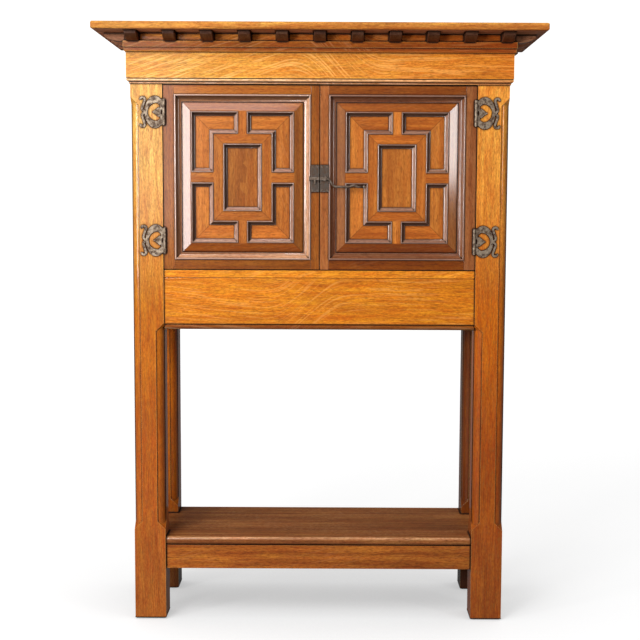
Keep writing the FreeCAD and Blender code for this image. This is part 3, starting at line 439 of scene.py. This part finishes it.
# Painted shade: the rear right post's front and inner faces are darker, and darker still towards the right.
shaded_front_wax = oak("rear_right_post_front", gold, late_gold, seed=4, heights=rear_by_height, shade_to_right=(0.33, 0.28, 0.3),
               **post_wax)
facing = face_vectors(posts["rear_right_post"].data, "normal")
second_finish(posts["rear_right_post"], shaded_front_wax, facing[:, 0] + facing[:, 1] < 0.1)


# Low shelf and its rails: one wide board, worn dull and brown by use, on four plain rails tenoned in the posts.
# Its front edge is rounded over and glossy, with a painted highlight along its top and painted shade under it.
rail_brown = (0.48, 0.15, 0.018)
late_brown = (0.62, 0.5, 0.42)
low_rail_grains = {"low_front_rail": "X", "low_rear_rail": "X", "low_left_rail": "Y", "low_right_rail": "Y"}
# The rails are painted darker towards the right as painted shade.
for index, (rail, grain) in enumerate(low_rail_grains.items()):
    wooden(rail, 0.0008, oak(rail, rail_brown, late_brown, grain, 11 + index, rays=0.12, shade_to_right=(0.82, 0.82, 0.9)))
shelf_brown = (0.42, 0.165, 0.05)
nosing_brown = (0.4, 0.155, 0.045)
# Painted shade under the nosing and a painted highlight along its top edge; the nosing is also painted darker towards
# the right as painted shade.
nosing_shadow, nosing_shine = (0.16, 0.05, 0.015), (0.85, 0.48, 0.27)
nosing_by_height = [(0.193, nosing_shadow), (0.1965, nosing_brown), (0.209, nosing_brown), (0.2105, nosing_shine)]
shelf = wooden("low_shelf", 0, oak("low_shelf", shelf_brown, late_brown, "X", 16, rays=0.3, lean=0.5, coat=0))
highlighted_nosing = oak("shelf_nosing", nosing_brown, late_brown, "X", 17, rays=0, gloss=0.35, coat=0.8,
                      heights=nosing_by_height, shade_to_right=(0.75, 0.7, 0.65))
nosing_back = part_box("low_shelf")[0].y + 0.006
in_front = face_vectors(shelf.data, "center")[:, 1] < nosing_back
not_underneath = face_vectors(shelf.data, "normal")[:, 2] > -0.5
second_finish(shelf, highlighted_nosing, in_front & not_underneath)


# Apron and cupboard floor: a deep quarter-sawn rail with strong ray figure, its lower edge moulded,
# and over it the front edge of the floor board.
apron_gold = (0.75, 0.265, 0.0135)
late_apron = (0.86, 0.72, 0.55)
# The moulded lower edge is painted dark as painted shade, and the rail is painted darker towards the right as painted
# shade.
apron_by_height = [(0.743, (0.03, 0.012, 0.006)), (0.7455, (0.3, 0.09, 0.012)), (0.751, (0.42, 0.12, 0.012)),
                   (0.757, apron_gold)]
apron_rays = oak("front_apron_rail", apron_gold, late_apron, "X", 21, rays=0.42, arch=(-0.1, -0.9, -0.1, 0.04),
                 heights=apron_by_height, shade_to_right=(0.88, 0.84, 0.7), bare=0.36)
wooden("front_apron_rail", 0.0012, apron_rays)
floor_gold = (0.86, 0.33, 0.02)
wooden("cupboard_floor", 0.0015, oak("cupboard_floor", floor_gold, late_apron, "X", 22, rays=0.3))
for index, rail in enumerate(("left_apron_rail", "right_apron_rail")):
    wooden(rail, 0.0008, oak(rail, apron_gold, late_apron, "Y", 23 + index, rays=0.4))


# Case: side panels in the posts' grooves, and the plain dry boards of the back, ceiling and inner shelf.
# These inner boards were never waxed, so they are paler and duller.
dry_oak = (0.34, 0.18, 0.085)
late_dry = (0.7, 0.6, 0.5)
# The inner boards' corners and gaps are darkened with painted shade in this colour.
inner_corner_shade = (0.06, 0.035, 0.02)
inner_grains = {"rear_apron_rail": "X", "ceiling_board": "X", "inner_shelf": "X", "shelf_bearers": "Y",
                "rear_top_rail": "X", "back_boards": "Z", "door_stops": "X"}
for index, (board, grain) in enumerate(inner_grains.items()):
    wooden(board, 0.0008, oak(board, dry_oak, late_dry, grain, 31 + index, rays=0.15, gloss=0.65, coat=0, joint_dark_and_corner_shade=inner_corner_shade))
panel_brown = (0.5, 0.15, 0.018)
for index, panel in enumerate(("left_side_panel", "right_side_panel")):
    wooden(panel, 0.0006, oak(panel, panel_brown, late_apron, "Z", 41 + index, rays=0.3))


# Frieze: three mitred boards with a bead over the doors and a stepped fascia under the corbels,
# cut from the log's best figured wood, whose ray flecks crest and run down again.
frieze_gold = (0.81, 0.385, 0.06)
late_frieze = (0.9, 0.8, 0.62)
shaded_frieze = (0.405, 0.112, 0.011)
fascia_brown = (0.72, 0.24, 0.026)
# The bead and the fillet under it carry painted highlights, the band just below the corbels is painted dark as the
# top board's painted shadow, and the front board is painted darker towards the right as painted shade.
bead_highlight, fillet_highlight = (0.95, 0.66, 0.4), (0.8, 0.46, 0.3)
frieze_by_height = [(1.3495, fillet_highlight), (1.351, bead_highlight), (1.3575, bead_highlight), (1.3585, frieze_gold),
                    (1.418, frieze_gold), (1.4215, shaded_frieze), (1.441, shaded_frieze), (1.443, fascia_brown)]
front_figure = oak("front_frieze", frieze_gold, late_frieze, "X", 51, rays=0.75, arch=(0.35, 1.1, -0.04, 0.12),
                   heights=frieze_by_height, shade_to_right=(0.82, 0.52, 0.25), bare=0.3)
wooden("front_frieze", 0.0005, front_figure)
for index, board in enumerate(("left_frieze", "right_frieze")):
    wooden(board, 0.0005, oak(board, frieze_gold, late_frieze, "Y", 52 + index, rays=0.4, heights=frieze_by_height))


# Cornice: a thin board with a wide overhang, carried on short corbels whose undersides are rounded. The board's
# underside is painted lighter as painted light. The corbels along the front are painted dark as the board's painted
# shadow, and those at the sides are browner.
late_board = (0.6, 0.42, 0.3)
board_top = oak("top_board", (0.72, 0.335, 0.07), late_board, "X", 61, rays=0.1, gloss=0.6, coat=0.05)
# The underside's lighter finish is painted light.
underside_painted_light = oak("top_board_underside", (0.6, 0.3, 0.18), late_board, "X", 61, rays=0.1, coat=0, shine=0.05)
board = wooden("top_board", 0.0015, board_top)
second_finish(board, underside_painted_light, face_vectors(board.data, "normal")[:, 2] < -0.9)
# The front corbels' dark finish is the board's painted shadow.
front_corbel_shade, side_corbel_brown = (0.14, 0.05, 0.018), (0.42, 0.2, 0.11)
late_corbel = (0.6, 0.5, 0.45)
corbel_shade_by_height = [(1.446, (0.14, 0.042, 0.014)), (1.455, (0.12, 0.05, 0.028))]
front_row = oak("front_corbels", front_corbel_shade, late_corbel, "Y", 62, rays=0.1, coat=0.1,
                heights=corbel_shade_by_height)
wooden("front_corbels", 0.001, front_row)
for index, row in enumerate(("left_corbels", "right_corbels")):
    wooden(row, 0.001, oak(row, side_corbel_brown, late_corbel, "X", 63 + index, rays=0.1, coat=0.1))


# Door frames: stiles and rails of dark polished oak, butted and tenoned, the stiles running full height.
# No two of their boards have taken the polish alike.
door_browns = {"left_door_hinge_stile": (0.38, 0.118, 0.012), "left_door_meeting_stile": (0.33, 0.097, 0.009),
               "left_door_top_rail": (0.48, 0.155, 0.015), "left_door_bottom_rail": (0.29, 0.082, 0.005),
               "right_door_meeting_stile": (0.45, 0.155, 0.04), "right_door_hinge_stile": (0.36, 0.13, 0.04),
               "right_door_top_rail": (0.27, 0.072, 0.006), "right_door_bottom_rail": (0.25, 0.062, 0.002)}
late_door = (0.74, 0.62, 0.54)
polish = {"rays": 0.1, "gloss": 0.4, "coat": 1, "joint_dark_and_corner_shade": (0.012, 0.004, 0.002), "hue": 0.25, "figure": 0.65,
          "shade_openness": (0.8, 0.982)}
frame_parts = {"hinge_stile": "Z", "meeting_stile": "Z", "top_rail": "X", "bottom_rail": "X"}
for side_index, side in enumerate(("left", "right")):
    for index, (part, grain) in enumerate(frame_parts.items()):
        node = f"{side}_door_{part}"
        wooden(node, 0.0006, oak(node, door_browns[node], late_door, grain, 71 + 5 * side_index + index, **polish))


# Door panels: a bevelled panel whose raised field is laid out as mitred straps round five sunk shapes.
# Each strap, each arm of a sunk shape and each side of the bevel is its own board, so the grain turns at the mitres.
centre_half = (0.0475, 0.0825)
knee = (0.0715, 0.1065)
field_half = (0.12675, 0.161)
short_strap_half = (0.01075, 0.0125)
sunk_depth = 0.0045


def field_middle(node):
    """The middle of a door's field, at the front of its solid."""
    low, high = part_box(node)
    return Vector(((low.x + high.x) / 2, low.y, (low.z + high.z) / 2))


def cut_along_mitres(piece, middle):
    """Cuts the faces along the mitres and along the edges of the short straps, where the grain changes."""
    shaped = bmesh.new()
    shaped.from_mesh(piece.data)
    planes = []
    for sx, sz in ((1, 1), (-1, 1), (-1, -1), (1, -1)):
        corner = middle + Vector((sx * centre_half[0], 0, sz * centre_half[1]))
        planes.append((corner, Vector((sx, 0, -sz))))
    for sign in (-1, 1):
        for axis, offsets in ((0, (centre_half[0], knee[0], field_half[0], short_strap_half[0])),
                              (2, (centre_half[1], knee[1], field_half[1], short_strap_half[1]))):
            normal = Vector((axis == 0, 0, axis == 2))
            planes += [(middle + normal * sign * offset, normal) for offset in offsets]
    for spot, normal in planes:
        everything = shaped.verts[:] + shaped.edges[:] + shaped.faces[:]
        bmesh.ops.bisect_plane(shaped, geom=everything, plane_co=spot, plane_no=normal, dist=1e-6)
    shaped.to_mesh(piece.data)
    shaped.free()
    piece.data.update()


def moulding_light_and_shade(depth, normals, uphill, crown, bead_foot):
    """How light each face of a moulding is painted, as painted light and shade, and how strong the painted highlight
    on its bead is.

    Its lightness is 2 to the power of uphill times how far the face looks up and left, as painted light and shade,
    and where it is lightest it also turns greyer, as a painted reflection. The bead stands proud of bead_foot. Its
    flanks are painted dark as painted shade, and its crown carries a painted highlight of strength crown.
    """
    flank_shade, highlight_greying = 0.12, np.array((0.3, 0.6))
    tilt = np.clip(normals[:, 2], -0.6, 0.6) + np.clip(-normals[:, 0], -0.6, 0.6)
    on_bead = depth < bead_foot
    flank = on_bead & (normals[:, 1] > -0.7)
    tone = np.repeat(np.where(flank, flank_shade, np.exp2(uphill * tilt)), 4).reshape(-1, 4)
    tone[:, 1:3] *= np.maximum(tone[:, :1], 1.0) ** highlight_greying
    return tone, np.where(on_bead & ~flank, crown, 0.0)


def lay_boards(piece, middle, tones, bead_foot=None):
    """Writes for each face whether its grain lies level, which board it is cut from and how dark that board is.

    Level boards lie above and below the 45-degree lines that run out from the centre rectangle's corners,
    upright boards beside them, and the short straps the other way. A moulding's grain follows its run,
    which is square to its faces' normals. For a panel tones are how light the bevel, the centre, the sunk shapes
    and the straps are, and the tint of the level boards; for a moulding, which has a bead_foot, they are the
    uphill and crown of moulding_light_and_shade. The back is one plain board. A board's number only sets its grain and its
    shade apart from its neighbours'.
    """
    mesh = piece.data
    middles = face_vectors(mesh, "center") - np.array(middle)
    normals = face_vectors(mesh, "normal")
    across, up, depth = np.abs(middles[:, 0]), np.abs(middles[:, 2]), middles[:, 1]
    in_upper_half, in_right_half = middles[:, 2] > 0, middles[:, 0] > 0
    level = up - centre_half[1] > across - centre_half[0]
    centre = (across < centre_half[0]) & (up < centre_half[1])
    on_field = (across < field_half[0]) & (up < field_half[1])
    upright_strap = on_field & (across < short_strap_half[0]) & (up > knee[1])
    level_strap = on_field & (up < short_strap_half[1]) & (across > knee[0])
    level = np.where(centre | upright_strap, False, level | level_strap)
    back = normals[:, 1] > 0.5
    level, centre, on_field = level & ~back, centre & ~back, on_field | back
    if bead_foot is not None:
        level = np.abs(normals[:, 2]) > np.abs(normals[:, 0])
    sunk, bevel, short_strap = depth > sunk_depth, ~on_field, upright_strap | level_strap
    board = np.where(level, 0.31 * in_upper_half, 0.17 * in_right_half)
    board = board + 0.43 * level + 0.77 * centre + 0.11 * sunk + 0.23 * bevel + 0.37 * short_strap
    board = np.where(back, 0.5, board)
    if bead_foot is not None:
        # On a moulding the tone is painted light and shade, and the bead's crown carries a painted highlight.
        tone, bead = moulding_light_and_shade(depth, normals, *tones, bead_foot)
    else:
        on_bevel, on_centre, on_sunk, on_straps, level_tint = tones
        tone = np.where(bevel, on_bevel, np.where(centre, on_centre, np.where(sunk, on_sunk, on_straps)))
        tone = np.repeat(tone * (0.9 + 0.2 * np.modf(board * 7.3)[0]), 4).reshape(-1, 4)
        tone[level, :3] *= level_tint
        # Painted light and shade on the bevel: its upper side is lighter and its lower side darker and redder, as
        # light falls from above.
        tone[bevel & level & in_upper_half, :3] *= (1.4, 1.3, 1.2)
        tone[bevel & level & (middles[:, 2] < 0), :3] *= (1.0, 0.8, 0.3)
        bead = np.zeros(len(depth))
    for name, values in (("level_grain", level), ("board", board), ("bead", bead)):
        mesh.attributes.new(name, "FLOAT", "FACE").data.foreach_set("value", values.astype(np.float32))
    mesh.attributes.new("tone", "FLOAT_COLOR", "FACE").data.foreach_set("color", tone.astype(np.float32).ravel())


field_brown = (0.6, 0.2, 0.03)
moulding_brown = (0.17, 0.075, 0.042)
# The right door's surround is painted darker than the left's, as painted shade.
surround_browns = {"left": (0.34, 0.15, 0.07), "right": (0.2, 0.07, 0.028)}
arris_highlight = (0.62, 0.42, 0.34)
# The bevels' low tone is partly the wood's own and partly painted shade.
board_tones = {"left": (0.52, 0.68, 1.0, 0.93, (1.0, 0.95, 0.88)),
               "right": (0.5, 0.84, 0.98, 1.05, (0.86, 0.74, 0.6))}
moulding_lights = {"left": (2.9, 0.24), "right": (2.3, 0.2)}
surround_lights = {"left": (2.0, 0.45), "right": (0.6, 0.2)}
bead_feet = {"frame_mould": -0.0011, "panel_moulds": -0.0008}
edge_radii = {"panel": 0, "frame_mould": 0.0003, "panel_moulds": 0.0003}
for index, side in enumerate(("left", "right")):
    middle = field_middle(f"{side}_door_panel")
    joints = (middle.x, middle.z, *centre_half)
    field_finish = oak(f"{side}_door_field", field_brown, late_door, "boards", 81 + index, mitres=joints, **polish)
    # Door mouldings carry stronger painted highlights along their edges, in the arris highlight colour, and closer
    # painted shade in their corners.
    worked = dict(polish, nook=0.004, edge_highlight=0.4, highlight_colour=arris_highlight)
    moulding_finish = oak(f"{side}_door_mouldings", moulding_brown, late_door, "boards", 83 + index, **worked)
    surround_finish = oak(f"{side}_door_surround", surround_browns[side], late_door, "boards", 85 + index, **worked)
    finishes = {"panel": field_finish, "frame_mould": surround_finish, "panel_moulds": moulding_finish}
    tones = {"panel": board_tones[side], "frame_mould": surround_lights[side], "panel_moulds": moulding_lights[side]}
    for part, edge in edge_radii.items():
        piece = worked_copy(f"{side}_door_{part}", edge)
        if part == "panel":
            cut_along_mitres(piece, middle)
            piece.data.shade_flat()
        lay_boards(piece, middle, tones[part], bead_feet.get(part))
        stands_for(piece, f"{side}_door_{part}", finishes[part])


# Hinges: pierced plates of wrought iron, a ring round a heart with a double scroll behind it, nailed to the posts.
# The iron is worn bare to a warm grey between clouds of rust, painted bright along its edges as highlights, and dark
# with rust and old wax in its hollows.
def iron(name, seed, worn=(0.36, 0.28, 0.2), rust=(0.09, 0.05, 0.03)):
    """Forged iron: clouds of rust, hammer dents and fine pits, edges painted bright as highlights, and dark corners.
    """
    finish = bpy.data.materials.new(name)
    tree = blank_tree(finish)
    iron_edge_highlight, old_wax = (0.5, 0.42, 0.35), (0.02, 0.012, 0.008)
    space = moved(tree, object_place(tree), (seed, seed * 0.7, seed * 1.9))
    cloud = put(tree, "ShaderNodeTexNoise", {"Vector": space, "Scale": 140.0, "Detail": 5.0, "Roughness": 0.6})
    cloud = cloud.outputs["Fac"]
    blows = put(tree, "ShaderNodeTexVoronoi", {"Vector": space, "Scale": 240.0}, feature="SMOOTH_F1")
    colour = tint(tree, ramp(tree, cloud, [(0.38, 0.0), (0.6, 1.0)]), rust, worn)
    # Painted highlights along the edges.
    colour = tint(tree, ramp(tree, edge_turn(tree, 0.0012), [(0.8, 0.7), (0.98, 0.0)]), colour, iron_edge_highlight)
    colour = tint(tree, ramp(tree, openness(tree, 0.004), [(0.35, 1.0), (0.85, 0.0)]), colour, old_wax)
    dents = put(tree, "ShaderNodeBump", {"Height": blows.outputs["Distance"], "Strength": 0.5, "Distance": 0.0008})
    pits = put(tree, "ShaderNodeBump", {"Height": cloud, "Strength": 0.4, "Distance": 0.0005,
                                        "Normal": dents.outputs[0]})
    rough = ramp(tree, cloud, [(0.35, 0.7), (0.65, 0.42)])
    surface = put(tree, "ShaderNodeBsdfPrincipled", {
        "Base Color": colour, "Metallic": 0.6, "Roughness": rough, "Normal": pits.outputs[0]})
    put(tree, "ShaderNodeOutputMaterial", {"Surface": surface.outputs[0]})
    return finish


def forged(node, edge, finish):
    """An iron piece as its solid gives it, with its edges eased by that radius."""
    return stands_for(worked_copy(node, edge), node, finish)


nail_iron = (0.1, 0.075, 0.06)
for index, side in enumerate(("left", "right")):
    for height in ("upper", "lower"):
        seed = 1 + index * 2 + (height == "lower")
        for part in ("plate", "leaf"):
            node = f"{side}_{height}_hinge_{part}"
            forged(node, 0.0004, iron(node, seed))
    pins = f"{side}_hinge_pins"
    forged(pins, 0.0004, iron(pins, 6 + index))
forged("hinge_nails", 0.0003, iron("hinge_nails", 9, nail_iron))


# Latch: iron plates riveted to the meeting stiles, a lever on the right door and its hook on the left.
# The plates are nearly black, and the parts that hands touch are worn lighter.
def stout_tail(lever):
    """Swells the lever's tail sideways and forwards, from nothing at the pivot to its full swell along the tail."""
    tail_start, run, swell = 0.024, 0.01, 0.0008
    mesh = lever.data
    spots = np.empty(len(mesh.vertices) * 3)
    normals = np.empty(len(mesh.vertices) * 3)
    mesh.vertices.foreach_get("co", spots)
    mesh.vertex_normals.foreach_get("vector", normals)
    spots, normals = spots.reshape(-1, 3), normals.reshape(-1, 3)
    share = np.clip((spots[:, 0] - tail_start) / run, 0, 1)[:, None]
    outwards = np.stack([normals[:, 0], np.minimum(normals[:, 1], 0), normals[:, 2]], axis=1)
    mesh.vertices.foreach_set("co", (spots + outwards * share * swell).ravel())
    mesh.update()


plate_iron, handled_iron = (0.08, 0.062, 0.05), (0.2, 0.155, 0.12)
latch_irons = {"left_latch_plate": plate_iron, "right_latch_plate": plate_iron, "latch_keeper": handled_iron,
               "latch_pivot": handled_iron, "latch_lever": handled_iron}
for index, (node, worn) in enumerate(latch_irons.items()):
    piece = forged(node, 0.0003, iron(node, 11 + index, worn))
    if node == "latch_lever":
        stout_tail(piece)


# Room: a white sweep of paper under and behind the cupboard, soft lamps high and low at its left front,
# narrow ones at both sides for the gloss, and a pale room all round.
def paper_sweep():
    """A sheet whose section runs along the floor, turns up in a quarter circle and climbs as a wall."""
    half_width, front, bend_start, radius, top = 7.0, -6.0, 2.2, 1.6, 6.0
    angle = np.linspace(0, math.pi / 2, 24)
    y = np.concatenate([[front], bend_start + radius * np.sin(angle), [bend_start + radius]])
    z = np.concatenate([[0], radius * (1 - np.cos(angle)), [top]])
    across = np.array([-half_width, half_width])
    corners = np.stack([np.tile(across, len(y)), np.repeat(y, 2), np.repeat(z, 2)], axis=1)
    first = 2 * np.arange(len(y) - 1)
    faces = np.stack([first, first + 1, first + 3, first + 2], axis=1)
    mesh = bpy.data.meshes.new("paper_sweep")
    mesh.from_pydata(corners.tolist(), [], faces.tolist())
    mesh.shade_smooth()
    return put_in_scene("paper_sweep", mesh)


def paper_white():
    """White paper: part of its white is only for the camera and for polished surfaces, so it lights little.

    Its white is full far behind the cupboard and a little less nearer to it, and round and under the cupboard it is
    dimmed further as a painted shadow. Polished surfaces see a tenth of it, and less than that of the floor in front.
    """
    finish = bpy.data.materials.new("paper_white")
    tree = blank_tree(finish)
    path = put(tree, "ShaderNodeLightPath").outputs
    mirrored = reckon(tree, "MAXIMUM", path["Is Glossy Ray"], path["Is Transmission Ray"])
    matt = ramp(tree, path["Is Glossy Ray"], [(0.0, 0.3), (1.0, 0.12)])
    diffuse = put(tree, "ShaderNodeBsdfDiffuse", {"Color": matt})
    backwards = object_axes(tree)[1]
    behind = rescaled(tree, backwards, 0.2, 3.4, first=0.84)
    # Painted shadow: the paper's glow is dimmed where the cupboard stands near it.
    painted_shadow = reckon(tree, "MULTIPLY_ADD", openness(tree, 1.0), 0.5, 0.5)
    in_front = rescaled(tree, backwards, -1.3, -0.5, 0.05, 0.12)
    seen = reckon(tree, "MAXIMUM", path["Is Camera Ray"], reckon(tree, "MULTIPLY", mirrored, in_front))
    lift = reckon(tree, "MULTIPLY", reckon(tree, "MULTIPLY", seen, behind), painted_shadow)
    glow = put(tree, "ShaderNodeEmission", {"Color": (1, 1, 1, 1), "Strength": lift})
    both = put(tree, "ShaderNodeAddShader", {0: diffuse.outputs[0], 1: glow.outputs[0]})
    put(tree, "ShaderNodeOutputMaterial", {"Surface": both.outputs[0]})
    return finish


def soft_lamp(name, place, aim, width, height, radiance):
    """A rectangular lamp of even brightness, facing a point; at a radiance of 1 its face would render as white."""
    lamp = bpy.data.lights.new(name, "AREA")
    lamp.shape = "RECTANGLE"
    lamp.size = width
    lamp.size_y = height
    lamp.energy = radiance * math.pi * width * height
    direction = Vector(aim) - Vector(place)
    turn = direction.to_track_quat("-Z", "Y").to_matrix()
    put_in_scene(name, lamp).matrix_world = Matrix.Translation(place) @ turn.to_4x4()


def pale_room():
    """The room past the paper: white to the camera, dim as a light and dimmer in the polish."""
    room = bpy.data.worlds.new("pale_room")
    tree = blank_tree(room)
    path = put(tree, "ShaderNodeLightPath").outputs
    straight = reckon(tree, "MAXIMUM", path["Is Camera Ray"], path["Is Transmission Ray"])
    white = reckon(tree, "MULTIPLY_ADD", straight, 0.84, 0.16)
    strength = reckon(tree, "MULTIPLY_ADD", path["Is Glossy Ray"], -0.1, white)
    background = put(tree, "ShaderNodeBackground", {"Color": (1, 1, 1, 1), "Strength": strength})
    put(tree, "ShaderNodeOutputWorld", {"Surface": background.outputs[0]})
    bpy.context.scene.world = room


sweep = paper_sweep()
sweep.data.materials.append(paper_white())
soft_lamp("key", (-1.5, -2.9, 3.2), aim=(-0.1, -0.1, 1.2), width=1.4, height=1.3, radiance=11.5)
soft_lamp("low_lamp", (-1.75, -3.6, 1.3), aim=(0, -0.1, 1.3), width=0.6, height=0.6, radiance=38)
soft_lamp("left_strip", (-2.52, -2.05, 1.35), aim=(-0.3, -0.1, 1.1), width=0.5, height=1.3, radiance=17.5)
soft_lamp("right_strip", (2.45, -2.2, 1.75), aim=(0.3, -0.1, 1.1), width=0.26, height=1.2, radiance=18)
soft_lamp("top_lamp", (-0.9, -2.0, 3.1), aim=(0, 0, 0.9), width=1.5, height=1.0, radiance=4)
soft_lamp("card", (-1.3, -3.4, 1.6), aim=(-0.3, 0, 1.1), width=1.2, height=1.4, radiance=2.5)
pale_room()
bpy.context.scene.view_settings.view_transform = "Standard"
